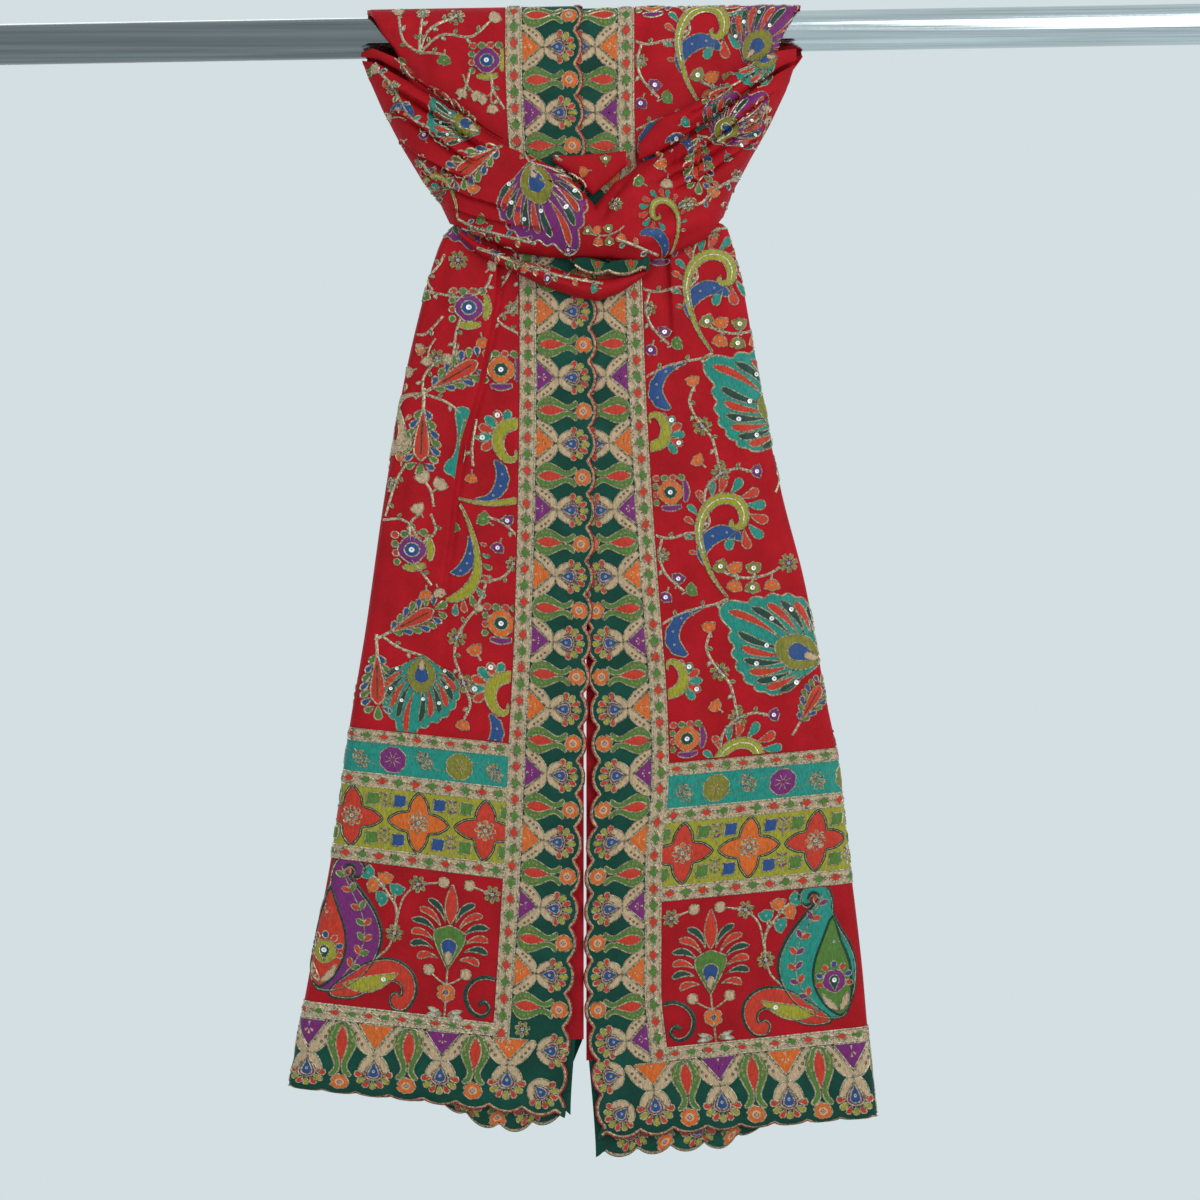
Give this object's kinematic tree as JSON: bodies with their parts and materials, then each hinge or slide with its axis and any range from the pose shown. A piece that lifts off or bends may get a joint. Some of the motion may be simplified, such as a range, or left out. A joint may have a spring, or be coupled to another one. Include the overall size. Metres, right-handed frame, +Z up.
{
  "type": "dupatta on a display rod",
  "caption": "Long embroidered stole with scalloped borders, folded lengthwise and hitched over a level round rod.",
  "frame": {"origin": "middle of the round rod that holds the cloth, on the rod's axis", "axes": "+Z up, +X along the rod to the right as seen from the front, front of the cloth faces -Y"},
  "size_m": [1.0004, 0.0791, 0.9067],
  "materials": {
    "red_field_cloth": "matte",
    "red_panel_cloth": "matte",
    "green_border_cloth": "matte",
    "rod_chrome": "polished"
  },
  "bodies": {
    "root": {"display_rod": "rod_chrome", "left_field_upper": "red_field_cloth", "left_field_lower": "red_field_cloth", "left_end_panel": "red_panel_cloth", "left_hem_border": "green_border_cloth", "left_side_border_upper": "green_border_cloth", "left_side_border_lower": "green_border_cloth", "left_corner": "green_border_cloth", "left_inner_field": "red_field_cloth", "left_inner_panel": "red_panel_cloth", "left_inner_hem_border": "green_border_cloth", "right_field_upper": "red_field_cloth", "right_field_lower": "red_field_cloth", "right_end_panel": "red_panel_cloth", "right_hem_border": "green_border_cloth", "right_side_border_upper": "green_border_cloth", "right_side_border_lower": "green_border_cloth", "right_corner": "green_border_cloth", "right_inner_field": "red_field_cloth", "right_inner_panel": "red_panel_cloth", "right_inner_hem_border": "green_border_cloth", "left_back_wrap": "red_field_cloth", "right_back_wrap": "red_field_cloth", "band_main_roll": "red_field_cloth", "band_lower_roll": "red_field_cloth", "band_left_upper_fold": "red_field_cloth", "band_right_upper_fold": "red_field_cloth", "band_inner_fold": "red_field_cloth", "band_scalloped_edge": "green_border_cloth"}
  },
  "joints": []
}
